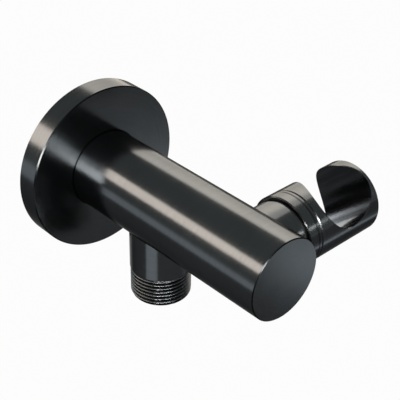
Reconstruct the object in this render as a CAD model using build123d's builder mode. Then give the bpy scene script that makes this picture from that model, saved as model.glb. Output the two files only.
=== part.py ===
from build123d import *
from math import cos, radians, sin, tan
import os

# Wall outlet elbow for a shower hose, with a swivelling handset holder on its arm.
# Lengths are in millimetres. The wall is the plane Y = 0, the arm runs towards -Y,
# the hose outlet points down and the holder stands out towards +X.

# Fits
slip_gap = 0.05
running_gap = 0.05
seal_ease = 0.05
free_gap = 0.3
ring_flats = 8

# Arm: a round bar, drilled from the wall side
arm_diameter = 28.0
arm_end_edge = 0.3
outlet_distance = 37.0
holder_from_outlet = 38.7
arm_past_holder = 17.3
channel_diameter = 12.0
channel_past_outlet = 8.0
drill_point_angle = 118.0

# Escutcheon: a turned cup with a hub that grips the arm
flange_diameter = 60.0
flange_depth = 8.0
flange_front_wall = 2.0
flange_rim_wall = 4.6
flange_edge = 0.35
flange_bore_edge = 0.3
hub_wall = 3.4
hub_setback = 1.5
hub_seal_section = 1.8
wall_seal_width = 2.0
wall_seal_depth = 1.6
wall_seal_rim = 1.3

# Pipe thread, nominal half inch
thread_diameter = 20.955
thread_edge = 1.0

# Wall nipple: screws into the wall, and the arm slides over its shank
nipple_thread_length = 15.0
shank_diameter = 18.0
shank_length = 22.0
shank_edge = 0.8
nipple_bore_diameter = 9.0
nipple_key_size = 10.0
nipple_key_depth = 9.5
nipple_seal_section = 1.5
nipple_seal_spacing = 3.2
nipple_seal_setback = 2.6
seal_groove_room = 0.4
socket_room = 0.5

# Grub screw that locks the arm to the nipple, just behind the middle of the free shank
grub_diameter = 5.0
grub_recess = 0.9
grub_point_diameter = 2.8
grub_behind_middle = 0.6
grub_key_size = 2.5
grub_key_share = 0.55
grub_groove_depth = 0.8
grub_groove_width = 3.2
grub_lead = 0.25

# Outlet stub: brazed into the underside of the arm
outlet_diameter = 21.3
outlet_length = 21.7
outlet_thread_length = 10.7
outlet_thread_edge = 0.5
outlet_spigot_diameter = 18.8
outlet_seat_depth = 7.5
outlet_seat_edge = 0.6

# Check valve cartridge in the outlet
valve_bore_diameter = 15.0
valve_recess = 7.7
valve_head_length = 4.1
valve_opening_diameter = 8.8
valve_wall = 1.2
valve_ring_section = 1.0
valve_edge = 0.3
poppet_diameter = 11.2
poppet_disc_height = 1.3
poppet_nose_diameter = 6.8
poppet_nose_height = 2.7
poppet_tip_diameter = 2.6
poppet_boss_diameter = 5.6
poppet_boss_height = 0.8
poppet_stem_diameter = 2.4
poppet_travel = 2.5
poppet_seal_height = 0.8
poppet_seal_rim = 0.3
valve_spring_height = 5.6
valve_spring_diameter = 6.8
valve_spring_wire = 0.6
valve_spring_turns = 4
valve_spring_wire_flats = 8
cage_height = 1.4
cage_rim = 1.2
cage_spokes = 3
cage_spoke_width = 1.5
cage_hub_diameter = 4.6
stem_setback = 1.0

# Neck and pivot screw
neck_diameter = 22.8
neck_length = 2.3
neck_edge = 0.3
neck_spigot_diameter = 18.0
neck_seat_depth = 6.5
pivot_thread_diameter = 8.0
pivot_thread_length = 10.5
pivot_shoulder_diameter = 10.0
pivot_head_diameter = 13.6
pivot_head_height = 3.0
pivot_key_size = 5.0
pivot_key_depth = 2.2
pivot_edge = 0.5
rear_washer_diameter = 21.8
rear_washer_height = 0.55
front_washer_diameter = 16.0
front_washer_height = 0.5
disc_spring_diameter = 15.6
disc_spring_height = 0.75
disc_spring_plate = 0.35

# Holder: a collar that turns on the pivot screw, and the cradle screwed into it
holder_diameter = 25.0
holder_edge = 0.35
collar_length = 5.45
collar_web = 2.0
chamber_room = 0.6
joint_depth = 1.45
joint_wall = 2.25
head_room = 0.5
head_side_room = 0.4
cradle_bore_diameter = 23.2
cradle_inner_wall = 2.1
cradle_outer_wall = 1.3
cradle_floor = 4.03
cradle_tilt = 42.5
cradle_mouth_edge = 0.3

# Radii of the main forms
arm_radius = arm_diameter / 2
channel_radius = channel_diameter / 2
thread_radius = thread_diameter / 2
shank_radius = shank_diameter / 2
socket_radius = shank_radius + slip_gap
outlet_radius = outlet_diameter / 2
outlet_spigot_radius = outlet_spigot_diameter / 2
valve_bore_radius = valve_bore_diameter / 2
neck_radius = neck_diameter / 2
neck_spigot_radius = neck_spigot_diameter / 2
shoulder_radius = pivot_shoulder_diameter / 2
holder_radius = holder_diameter / 2
cradle_bore_radius = cradle_bore_diameter / 2

# Places along the arm, from the wall
holder_distance = outlet_distance + holder_from_outlet
arm_reach = holder_distance + arm_past_holder
front_seal_place = shank_length - nipple_seal_setback
rear_seal_place = front_seal_place - nipple_seal_spacing
grub_distance = (flange_depth + rear_seal_place) / 2 - grub_behind_middle
socket_depth = shank_length + socket_room
channel_end = outlet_distance + channel_past_outlet

# Places down the outlet, from the arm's axis
outlet_seat = arm_radius - outlet_seat_depth
outlet_end = arm_radius + outlet_length
outlet_thread_start = outlet_end - outlet_thread_length
valve_end = outlet_end - valve_recess
cage_top = valve_end - cage_height
disc_bottom = cage_top - valve_spring_height
disc_top = disc_bottom - poppet_disc_height
poppet_seal_top = disc_top - poppet_seal_height
valve_seat = poppet_seal_top - free_gap
valve_top = valve_seat - valve_head_length
cage_hub_top = disc_bottom + poppet_boss_height + poppet_travel + free_gap

# Places along the holder's axis, from the arm's axis
neck_seat = arm_radius - neck_seat_depth
neck_front = arm_radius + neck_length
pivot_end = neck_seat - pivot_thread_length
collar_start = neck_front + rear_washer_height + running_gap
web_front = collar_start + collar_web
front_washer_start = web_front + running_gap
disc_spring_start = front_washer_start + front_washer_height
pivot_head_start = disc_spring_start + disc_spring_height
pivot_head_end = pivot_head_start + pivot_head_height
collar_end = collar_start + collar_length
joint_seat = collar_end - joint_depth
cradle_start = collar_end + slip_gap
pocket_radius = pivot_head_diameter / 2 + head_side_room
pocket_end = pivot_head_end + head_room
joint_radius = pocket_radius + joint_wall
cradle_middle = pocket_end + cradle_inner_wall + cradle_bore_radius
cradle_end = cradle_middle + cradle_bore_radius + cradle_outer_wall

# Section planes: local x runs along the axis, local y is the radius
arm_section = Plane(origin=(0, 0, 0), x_dir=(0, -1, 0), z_dir=(-1, 0, 0))
grub_section = Plane(origin=(0, -grub_distance, 0), x_dir=(0, 0, -1), z_dir=(0, -1, 0))
outlet_section = Plane(origin=(0, -outlet_distance, 0), x_dir=(0, 0, -1), z_dir=(0, -1, 0))
holder_section = Plane(origin=(0, -holder_distance, 0), x_dir=(1, 0, 0), z_dir=(0, -1, 0))


def turn(section, outline, mode=Mode.ADD):
    """Turns a closed outline of (along, radius) points round the section's axis."""
    with BuildSketch(section) as profile:
        with BuildLine():
            Polyline(*outline, close=True)
        make_face()
    axis = Axis(section.origin, section.x_dir)
    revolve(profile.sketch, axis=axis, mode=mode)


def turn_band(section, start, end, inner, outer, mode=Mode.ADD):
    """Turns a plain ring between two places along the axis and two radii."""
    outline = [(start, inner), (start, outer), (end, outer), (end, inner)]
    turn(section, outline, mode)


def turn_ring(section, place, radius, thickness):
    """Turns an O-ring, with flats where its groove squeezes it."""
    with BuildSketch(section) as profile:
        with Locations((place, radius)):
            RegularPolygon(
                radius=thickness / 2,
                side_count=ring_flats,
                major_radius=False,
                rotation=180 / ring_flats,
            )
    revolve(profile.sketch, axis=Axis(section.origin, section.x_dir))


def cut_key(plane, size, depth):
    """Sinks a hexagon socket of the given width across flats."""
    with BuildSketch(plane) as key:
        RegularPolygon(radius=size / 2, side_count=6, major_radius=False)
    extrude(key.sketch, amount=-depth, mode=Mode.SUBTRACT)


def cut_arm_saddle(distance, width):
    """Cuts away what would lie inside the round arm, at a distance from the wall."""
    with BuildSketch(Plane.XZ.offset(distance - width)) as saddle:
        Circle(arm_radius + slip_gap)
    extrude(saddle.sketch, amount=2 * width, mode=Mode.SUBTRACT)


os.makedirs("parts", exist_ok=True)

# Escutcheon: front plate, rim against the wall and hub round the arm
flange_radius = flange_diameter / 2
rim_inner = flange_radius - flange_rim_wall
flange_bore = arm_radius + slip_gap
hub_radius = flange_bore + hub_wall
plate_back = flange_depth - flange_front_wall
hub_seal_place = (hub_setback + flange_depth) / 2
hub_groove_radius = arm_radius + hub_seal_section + 2 * seal_ease
hub_groove_half = (hub_seal_section + seal_groove_room) / 2
wall_seal_outer = flange_radius - wall_seal_rim
wall_seal_inner = wall_seal_outer - wall_seal_width
with BuildPart() as escutcheon:
    turn(
        arm_section,
        [
            (0, rim_inner),
            (0, flange_radius),
            (flange_depth - flange_edge, flange_radius),
            (flange_depth, flange_radius - flange_edge),
            (flange_depth, flange_bore + flange_bore_edge),
            (flange_depth - flange_bore_edge, flange_bore),
            (hub_setback, flange_bore),
            (hub_setback, hub_radius),
            (plate_back, hub_radius),
            (plate_back, rim_inner),
        ],
    )
    turn_band(
        arm_section,
        hub_seal_place - hub_groove_half,
        hub_seal_place + hub_groove_half,
        arm_radius,
        hub_groove_radius,
        Mode.SUBTRACT,
    )
    turn_band(
        arm_section, 0, wall_seal_depth, wall_seal_inner, wall_seal_outer, Mode.SUBTRACT
    )
escutcheon.part.label = "escutcheon"
export_step(escutcheon.part, "parts/escutcheon.step")

# O-ring that holds the escutcheon against the wall by its grip on the arm
with BuildPart() as escutcheon_o_ring:
    hub_seal_radius = (arm_radius + hub_groove_radius) / 2
    turn_ring(arm_section, hub_seal_place, hub_seal_radius, hub_seal_section)
escutcheon_o_ring.part.label = "escutcheon_o_ring"
export_step(escutcheon_o_ring.part, "parts/escutcheon_o_ring.step")

# Rubber ring in the back of the rim, flush with the wall
with BuildPart() as wall_seal:
    turn_band(
        arm_section,
        0,
        wall_seal_depth - seal_ease,
        wall_seal_inner + seal_ease,
        wall_seal_outer - seal_ease,
    )
wall_seal.part.label = "wall_seal"
export_step(wall_seal.part, "parts/wall_seal.step")

# Arm: socket and water channel from the wall, cross hole below, holder seat at the side
outlet_hole_radius = outlet_spigot_radius + slip_gap
neck_hole_radius = neck_spigot_radius + slip_gap
pivot_thread_radius = pivot_thread_diameter / 2
pivot_hole_radius = pivot_thread_radius + slip_gap
drill_slope = tan(radians(drill_point_angle / 2))
pivot_hole_end = pivot_end - free_gap
with BuildPart() as arm:
    with BuildSketch(Plane.XZ):
        Circle(arm_radius)
    extrude(amount=arm_reach)
    chamfer(arm.edges().sort_by(Axis.Y)[0], length=arm_end_edge)
    turn(
        arm_section,
        [
            (0, 0),
            (0, socket_radius + shank_edge),
            (shank_edge, socket_radius),
            (socket_depth, socket_radius),
            (socket_depth, channel_radius),
            (channel_end, channel_radius),
            (channel_end + channel_radius / drill_slope, 0),
        ],
        Mode.SUBTRACT,
    )
    turn(
        outlet_section,
        [
            (0, 0),
            (0, channel_radius),
            (outlet_seat, channel_radius),
            (outlet_seat, outlet_hole_radius),
            (outlet_end, outlet_hole_radius),
            (outlet_end, 0),
        ],
        Mode.SUBTRACT,
    )
    turn(
        holder_section,
        [
            (pivot_hole_end - pivot_hole_radius / drill_slope, 0),
            (pivot_hole_end, pivot_hole_radius),
            (neck_seat, pivot_hole_radius),
            (neck_seat, neck_hole_radius),
            (neck_front, neck_hole_radius),
            (neck_front, 0),
        ],
        Mode.SUBTRACT,
    )
    turn_band(
        grub_section,
        shank_radius / 2,
        arm_diameter,
        0,
        grub_diameter / 2 + slip_gap,
        Mode.SUBTRACT,
    )
arm.part.label = "arm"
export_step(arm.part, "parts/arm.step")

# Wall nipple: pipe thread behind the wall face, sealed shank in front of it
nipple_groove_radius = socket_radius - nipple_seal_section - 2 * seal_ease
nipple_groove_half = (nipple_seal_section + seal_groove_room) / 2
nipple_seal_places = [rear_seal_place, front_seal_place]
grub_groove_radius = shank_radius - grub_groove_depth
with BuildPart() as wall_nipple:
    turn(
        arm_section,
        [
            (-nipple_thread_length, nipple_bore_diameter / 2),
            (-nipple_thread_length, thread_radius - thread_edge),
            (thread_edge - nipple_thread_length, thread_radius),
            (0, thread_radius),
            (0, shank_radius),
            (shank_length - shank_edge, shank_radius),
            (shank_length, shank_radius - shank_edge),
            (shank_length, nipple_bore_diameter / 2),
        ],
    )
    for place in nipple_seal_places:
        turn_band(
            arm_section,
            place - nipple_groove_half,
            place + nipple_groove_half,
            nipple_groove_radius,
            shank_diameter,
            Mode.SUBTRACT,
        )
    turn_band(
        arm_section,
        grub_distance - grub_groove_width / 2,
        grub_distance + grub_groove_width / 2,
        grub_groove_radius,
        shank_diameter,
        Mode.SUBTRACT,
    )
    cut_key(Plane.XZ.offset(shank_length), nipple_key_size, nipple_key_depth)
wall_nipple.part.label = "wall_nipple"
export_step(wall_nipple.part, "parts/wall_nipple.step")

# Two O-rings that seal the shank in the arm
nipple_seal_radius = (nipple_groove_radius + socket_radius) / 2
for name, place in zip(["rear_o_ring", "front_o_ring"], nipple_seal_places):
    with BuildPart() as nipple_seal:
        turn_ring(arm_section, place, nipple_seal_radius, nipple_seal_section)
    nipple_seal.part.label = name
    export_step(nipple_seal.part, f"parts/{name}.step")

# Grub screw: its point stands in the nipple's groove, its key faces down
grub_radius = grub_diameter / 2
grub_point_end = grub_groove_radius + slip_gap
grub_start = socket_radius + slip_gap
grub_end = arm_radius - grub_recess
grub_key_depth = grub_key_share * (grub_end - grub_start)
with BuildPart() as grub_screw:
    turn(
        grub_section,
        [
            (grub_point_end, 0),
            (grub_point_end, grub_point_diameter / 2),
            (grub_start, grub_point_diameter / 2),
            (grub_start, grub_radius - grub_lead),
            (grub_start + grub_lead, grub_radius),
            (grub_end - grub_lead, grub_radius),
            (grub_end, grub_radius - grub_lead),
            (grub_end, 0),
        ],
    )
    grub_face = Plane(origin=(0, -grub_distance, -grub_end), z_dir=(0, 0, -1))
    cut_key(grub_face, grub_key_size, grub_key_depth)
grub_screw.part.label = "grub_screw"
export_step(grub_screw.part, "parts/grub_screw.step")

# Outlet stub: saddle against the arm, spigot inside it, hose thread at its foot
with BuildPart() as outlet_stub:
    turn(
        outlet_section,
        [
            (0, 0),
            (0, outlet_radius),
            (outlet_thread_start, outlet_radius),
            (outlet_thread_start, thread_radius),
            (outlet_end - outlet_thread_edge, thread_radius),
            (outlet_end, thread_radius - outlet_thread_edge),
            (outlet_end, 0),
        ],
    )
    cut_arm_saddle(outlet_distance, outlet_diameter)
    turn_band(outlet_section, outlet_seat, outlet_thread_start, 0, outlet_spigot_radius)
    turn(
        outlet_section,
        [
            (0, 0),
            (0, channel_radius),
            (valve_top - outlet_seat_edge, channel_radius),
            (valve_top - outlet_seat_edge, valve_bore_radius),
            (outlet_end - outlet_seat_edge, valve_bore_radius),
            (outlet_end, valve_bore_radius + outlet_seat_edge),
            (outlet_end, 0),
        ],
        Mode.SUBTRACT,
    )
outlet_stub.part.label = "outlet_stub"
export_step(outlet_stub.part, "parts/outlet_stub.step")

# Valve housing: a sleeve with the seat in its head and a groove for its seal
valve_radius = valve_bore_radius - slip_gap
valve_inner_radius = valve_radius - valve_wall
valve_opening_radius = valve_opening_diameter / 2
valve_groove_radius = valve_bore_radius - valve_ring_section - 2 * seal_ease
valve_groove_half = (valve_ring_section + seal_groove_room) / 2
valve_ring_place = (valve_top + valve_seat) / 2
with BuildPart() as valve_housing:
    turn(
        outlet_section,
        [
            (valve_top, valve_opening_radius + valve_edge),
            (valve_top, valve_radius - valve_edge),
            (valve_top + valve_edge, valve_radius),
            (valve_end, valve_radius),
            (valve_end, valve_inner_radius),
            (valve_seat, valve_inner_radius),
            (valve_seat, valve_opening_radius),
            (valve_top + valve_edge, valve_opening_radius),
        ],
    )
    turn_band(
        outlet_section,
        valve_ring_place - valve_groove_half,
        valve_ring_place + valve_groove_half,
        valve_groove_radius,
        valve_bore_diameter,
        Mode.SUBTRACT,
    )
valve_housing.part.label = "valve_housing"
export_step(valve_housing.part, "parts/valve_housing.step")

with BuildPart() as valve_o_ring:
    valve_ring_radius = (valve_groove_radius + valve_bore_radius) / 2
    turn_ring(outlet_section, valve_ring_place, valve_ring_radius, valve_ring_section)
valve_o_ring.part.label = "valve_o_ring"
export_step(valve_o_ring.part, "parts/valve_o_ring.step")

# Valve cage: a spoked ring whose hub guides the poppet's stem and carries the spring
stem_radius = poppet_stem_diameter / 2
cage_radius = valve_inner_radius - slip_gap
cage_foot = Plane(origin=(0, -outlet_distance, -cage_top), z_dir=(0, 0, -1))
with BuildPart() as valve_cage:
    with BuildSketch(cage_foot):
        Circle(cage_radius)
        Circle(cage_radius - cage_rim, mode=Mode.SUBTRACT)
        Circle(cage_hub_diameter / 2)
        with PolarLocations(0, cage_spokes):
            Rectangle(
                cage_radius - cage_rim / 2,
                cage_spoke_width,
                align=(Align.MIN, Align.CENTER),
            )
    extrude(amount=cage_height)
    turn_band(outlet_section, cage_hub_top, cage_top, 0, cage_hub_diameter / 2)
    turn_band(
        outlet_section, cage_hub_top, valve_end, 0, stem_radius + running_gap, Mode.SUBTRACT
    )
valve_cage.part.label = "valve_cage"
export_step(valve_cage.part, "parts/valve_cage.step")

# Valve poppet: flow nose, disc, spring boss and guide stem
poppet_nose_radius = poppet_nose_diameter / 2
with BuildPart() as valve_poppet:
    turn(
        outlet_section,
        [
            (poppet_seal_top - poppet_nose_height, 0),
            (poppet_seal_top - poppet_nose_height, poppet_tip_diameter / 2),
            (poppet_seal_top, poppet_nose_radius),
            (disc_top, poppet_nose_radius),
            (disc_top, poppet_diameter / 2),
            (disc_bottom, poppet_diameter / 2),
            (disc_bottom, poppet_boss_diameter / 2),
            (disc_bottom + poppet_boss_height, poppet_boss_diameter / 2),
            (disc_bottom + poppet_boss_height, stem_radius),
            (valve_end - stem_setback, stem_radius),
            (valve_end - stem_setback, 0),
        ],
    )
valve_poppet.part.label = "valve_poppet"
export_step(valve_poppet.part, "parts/valve_poppet.step")

# Flat rubber ring on the disc, round the nose
with BuildPart() as poppet_seal:
    turn_band(
        outlet_section,
        poppet_seal_top,
        disc_top,
        poppet_nose_radius + seal_ease,
        poppet_diameter / 2 - poppet_seal_rim,
    )
poppet_seal.part.label = "poppet_seal"
export_step(poppet_seal.part, "parts/poppet_seal.step")

# Valve spring between the disc and the cage
wire_radius = valve_spring_wire / 2
coil_height = valve_spring_height - valve_spring_wire - 2 * slip_gap
coil_start = disc_bottom + slip_gap + wire_radius
with BuildPart() as valve_spring:
    with BuildLine() as coil:
        Helix(
            pitch=coil_height / valve_spring_turns,
            height=coil_height,
            radius=valve_spring_diameter / 2,
            center=(0, -outlet_distance, -coil_start),
            direction=(0, 0, -1),
        )
    with BuildSketch(Plane(origin=coil.line @ 0, z_dir=coil.line % 0)):
        RegularPolygon(radius=wire_radius, side_count=valve_spring_wire_flats)
    sweep()
valve_spring.part.label = "valve_spring"
export_step(valve_spring.part, "parts/valve_spring.step")

# Neck: saddle against the arm, spigot inside it, flat front for the holder
with BuildPart() as neck:
    turn(
        holder_section,
        [
            (0, 0),
            (0, neck_radius),
            (neck_front - neck_edge, neck_radius),
            (neck_front, neck_radius - neck_edge),
            (neck_front, 0),
        ],
    )
    cut_arm_saddle(holder_distance, neck_diameter)
    turn_band(holder_section, neck_seat, neck_front, 0, neck_spigot_radius)
    turn_band(holder_section, neck_seat, neck_front, 0, pivot_hole_radius, Mode.SUBTRACT)
neck.part.label = "neck"
export_step(neck.part, "parts/neck.step")

# Pivot screw: threaded end in the arm, shoulder for the collar, head with a hexagon key
pivot_head_radius = pivot_head_diameter / 2
with BuildPart() as pivot_screw:
    turn(
        holder_section,
        [
            (pivot_end, 0),
            (pivot_end, pivot_thread_radius - pivot_edge),
            (pivot_end + pivot_edge, pivot_thread_radius),
            (neck_front, pivot_thread_radius),
            (neck_front, shoulder_radius),
            (pivot_head_start, shoulder_radius),
            (pivot_head_start, pivot_head_radius),
            (pivot_head_end - pivot_edge, pivot_head_radius),
            (pivot_head_end, pivot_head_radius - pivot_edge),
            (pivot_head_end, 0),
        ],
    )
    head_face = Plane(origin=(pivot_head_end, -holder_distance, 0), z_dir=(1, 0, 0))
    cut_key(head_face, pivot_key_size, pivot_key_depth)
pivot_screw.part.label = "pivot_screw"
export_step(pivot_screw.part, "parts/pivot_screw.step")

# Friction washers on both sides of the collar's web, and the spring that loads them
washer_bore = shoulder_radius + slip_gap
with BuildPart() as rear_friction_washer:
    turn_band(
        holder_section,
        neck_front,
        neck_front + rear_washer_height,
        washer_bore,
        rear_washer_diameter / 2,
    )
rear_friction_washer.part.label = "rear_friction_washer"
export_step(rear_friction_washer.part, "parts/rear_friction_washer.step")

with BuildPart() as front_friction_washer:
    turn_band(
        holder_section,
        front_washer_start,
        disc_spring_start,
        washer_bore,
        front_washer_diameter / 2,
    )
front_friction_washer.part.label = "front_friction_washer"
export_step(front_friction_washer.part, "parts/front_friction_washer.step")

with BuildPart() as disc_spring:
    turn(
        holder_section,
        [
            (pivot_head_start - disc_spring_plate, washer_bore),
            (pivot_head_start, washer_bore),
            (disc_spring_start + disc_spring_plate, disc_spring_diameter / 2),
            (disc_spring_start, disc_spring_diameter / 2),
        ],
    )
disc_spring.part.label = "disc_spring"
export_step(disc_spring.part, "parts/disc_spring.step")

# Collar: its web turns on the screw's shoulder, its front takes the cradle
collar_bore = shoulder_radius + running_gap
chamber_radius = front_washer_diameter / 2 + chamber_room
joint_bore_radius = joint_radius + slip_gap
with BuildPart() as holder_collar:
    turn(
        holder_section,
        [
            (collar_start, collar_bore),
            (collar_start, holder_radius - holder_edge),
            (collar_start + holder_edge, holder_radius),
            (collar_end - holder_edge, holder_radius),
            (collar_end, holder_radius - holder_edge),
            (collar_end, joint_bore_radius),
            (joint_seat, joint_bore_radius),
            (joint_seat, chamber_radius),
            (web_front, chamber_radius),
            (web_front, collar_bore),
        ],
    )
holder_collar.part.label = "holder_collar"
export_step(holder_collar.part, "parts/holder_collar.step")

# Cradle: a round block with a tilted bore for the handset's cone, set off the axis
# so that it breaks out along one side and leaves the gap that the hose passes
bore_offset = cradle_bore_radius + cradle_floor - holder_radius
tilt = radians(cradle_tilt)
bore_plane = Plane(
    origin=(
        cradle_middle,
        bore_offset * sin(tilt) - holder_distance,
        bore_offset * cos(tilt),
    ),
    x_dir=(1, 0, 0),
    z_dir=(0, -cos(tilt), sin(tilt)),
)
with BuildPart() as holder_cradle:
    turn(
        holder_section,
        [
            (joint_seat, pocket_radius),
            (joint_seat, joint_radius),
            (cradle_start, joint_radius),
            (cradle_start, holder_radius - holder_edge),
            (cradle_start + holder_edge, holder_radius),
            (cradle_end - holder_edge, holder_radius),
            (cradle_end, holder_radius - holder_edge),
            (cradle_end, 0),
            (pocket_end, 0),
            (pocket_end, pocket_radius),
        ],
    )
    with BuildSketch(bore_plane):
        Circle(cradle_bore_radius)
    extrude(amount=holder_diameter, both=True, mode=Mode.SUBTRACT)
    mouth_edges = holder_cradle.edges(Select.LAST)
    chamfer(mouth_edges, length=cradle_mouth_edge)
holder_cradle.part.label = "holder_cradle"
export_step(holder_cradle.part, "parts/holder_cradle.step")
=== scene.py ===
"""Dresses a wall outlet elbow for a shower hose, with its swivelling handset holder.

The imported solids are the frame. The file is laid out as an add-on: the sizes and colours that a
user would change are properties, each piece or group of like pieces has an operator, and a panel in
the sidebar lists them. Lengths in the surface functions are in millimetres, and Blender's in metres.
"""

import functools
import math

import bpy
import numpy as np
from mathutils import Matrix, Vector


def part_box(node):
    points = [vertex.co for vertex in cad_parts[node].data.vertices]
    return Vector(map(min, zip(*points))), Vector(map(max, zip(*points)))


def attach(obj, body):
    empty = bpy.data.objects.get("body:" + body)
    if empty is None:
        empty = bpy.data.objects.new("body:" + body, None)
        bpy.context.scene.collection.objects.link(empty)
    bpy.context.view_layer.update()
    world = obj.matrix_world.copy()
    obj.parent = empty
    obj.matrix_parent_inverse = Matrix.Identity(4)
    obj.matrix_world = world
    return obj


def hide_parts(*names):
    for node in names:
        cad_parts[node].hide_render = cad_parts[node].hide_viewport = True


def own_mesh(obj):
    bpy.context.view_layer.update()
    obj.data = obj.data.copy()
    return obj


bl_info = {
    "name": "Wall outlet elbow",
    "version": (1, 0, 0),
    "blender": (4, 5, 0),
    "location": "3D View > Sidebar > Outlet elbow",
    "description": "Threads, springs, seals and finishes of a wall outlet elbow",
    "category": "Object",
}

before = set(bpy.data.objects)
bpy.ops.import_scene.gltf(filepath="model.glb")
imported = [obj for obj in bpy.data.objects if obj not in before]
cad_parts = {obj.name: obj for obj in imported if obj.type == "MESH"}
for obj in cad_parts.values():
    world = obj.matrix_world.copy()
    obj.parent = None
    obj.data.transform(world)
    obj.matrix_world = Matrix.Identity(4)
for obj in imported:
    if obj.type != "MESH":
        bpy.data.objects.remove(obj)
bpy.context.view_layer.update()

MM = 0.001

# Places and sizes in millimetres. The top of the hose thread is counted down from the arm's axis.
OUTLET_Y = -37.0
HOLDER_Y = -75.7
GRUB_Y = -11.5
FRONT_SEAL_Y = -19.4
REAR_SEAL_Y = -16.2
THREAD_TOP = 25.0
BORE_CENTRE = (37.4, -73.586, 2.308)
BORE_TILT = 42.5
BORE_RADIUS = 11.6
SPRING_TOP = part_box("valve_spring")[1].z / MM
SPRING_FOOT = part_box("valve_spring")[0].z / MM
STUB_FOOT = -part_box("outlet_stub")[0].z / MM
STUB_TOP = -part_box("outlet_stub")[1].z / MM
NIPPLE_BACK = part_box("wall_nipple")[1].y / MM
NIPPLE_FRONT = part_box("wall_nipple")[0].y / MM
ARM_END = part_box("arm")[0].y / MM
ARM_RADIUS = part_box("arm")[1].x / MM
DISC_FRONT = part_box("escutcheon")[0].y / MM
DISC_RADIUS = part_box("escutcheon")[1].x / MM
NECK_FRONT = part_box("neck")[1].x / MM
NECK_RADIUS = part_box("neck")[1].z / MM
HOLDER_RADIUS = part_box("holder_cradle")[1].z / MM
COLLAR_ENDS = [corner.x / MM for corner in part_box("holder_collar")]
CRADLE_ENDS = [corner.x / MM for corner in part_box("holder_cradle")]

# Where the lamps aim, and their distances and lengths in metres. A soft box beside the arm is seen
# from there in a direction that is BOX_OUT square to the arm and BOX_BACK towards the wall.
LAMP_TARGET = Vector((0.0, -0.045, 0.0))
LAMP_REACH = 0.9
CARD_REACH = 0.6
BOX_LENGTH = 1.5
BOX_OUT, BOX_BACK = 0.797, 0.603
WHITE = (1.0, 1.0, 1.0, 1.0)


# Sizes and colours


class ThreadSizes(bpy.types.PropertyGroup):
    """Sizes of the two pipe threads."""

    outside: bpy.props.FloatProperty(
        name="Outside diameter",
        description="Diameter over the crests of both pipe threads",
        default=0.020955,
        unit="LENGTH",
        precision=5,
    )
    hose_pitch: bpy.props.FloatProperty(
        name="Hose thread pitch",
        description="Distance from crest to crest on the outlet",
        default=0.00143,
        unit="LENGTH",
        precision=5,
    )
    wall_pitch: bpy.props.FloatProperty(
        name="Wall thread pitch",
        description="Distance from crest to crest on the wall nipple",
        default=0.001814,
        unit="LENGTH",
        precision=5,
    )
    hose_depth: bpy.props.FloatProperty(
        name="Hose thread depth",
        description="Depth from crest to root on the outlet",
        default=0.00078,
        unit="LENGTH",
        precision=5,
    )
    depth_share: bpy.props.FloatProperty(
        name="Depth by pitch",
        description="Depth of the wall thread divided by its pitch",
        default=0.64,
        subtype="FACTOR",
        min=0.1,
        max=0.8,
    )


class FinishColours(bpy.types.PropertyGroup):
    """Colours and roughness of the finishes."""

    gunmetal: bpy.props.FloatVectorProperty(
        name="Gunmetal",
        description="Colour of the dark coat on the visible metal",
        default=(0.080, 0.0855, 0.0895),
        size=3,
        subtype="COLOR",
        min=0.0,
        max=1.0,
    )
    gunmetal_roughness: bpy.props.FloatProperty(
        name="Gunmetal roughness",
        description="Roughness of the dark coat between its brush lines",
        default=0.18,
        subtype="FACTOR",
        min=0.0,
        max=1.0,
    )
    brush_depth: bpy.props.FloatProperty(
        name="Brush depth",
        description="Depth of the fine brush lines in the dark coat",
        default=0.0000030,
        unit="LENGTH",
        precision=7,
    )
    brass: bpy.props.FloatVectorProperty(
        name="Brass",
        description="Colour of the turned brass of the wall nipple",
        default=(0.62, 0.41, 0.16),
        size=3,
        subtype="COLOR",
        min=0.0,
        max=1.0,
    )
    steel: bpy.props.FloatVectorProperty(
        name="Steel",
        description="Colour of the screws and springs",
        default=(0.56, 0.56, 0.55),
        size=3,
        subtype="COLOR",
        min=0.0,
        max=1.0,
    )
    rubber: bpy.props.FloatVectorProperty(
        name="Rubber",
        description="Colour of the seals",
        default=(0.018, 0.018, 0.019),
        size=3,
        subtype="COLOR",
        min=0.0,
        max=1.0,
    )
    valve_plastic: bpy.props.FloatVectorProperty(
        name="Valve plastic",
        description="Colour of the check valve's housing, cage and poppet",
        default=(0.72, 0.72, 0.69),
        size=3,
        subtype="COLOR",
        min=0.0,
        max=1.0,
    )
    washer_plastic: bpy.props.FloatVectorProperty(
        name="Washer plastic",
        description="Colour of the holder's friction washers",
        default=(0.025, 0.025, 0.026),
        size=3,
        subtype="COLOR",
        min=0.0,
        max=1.0,
    )


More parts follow.
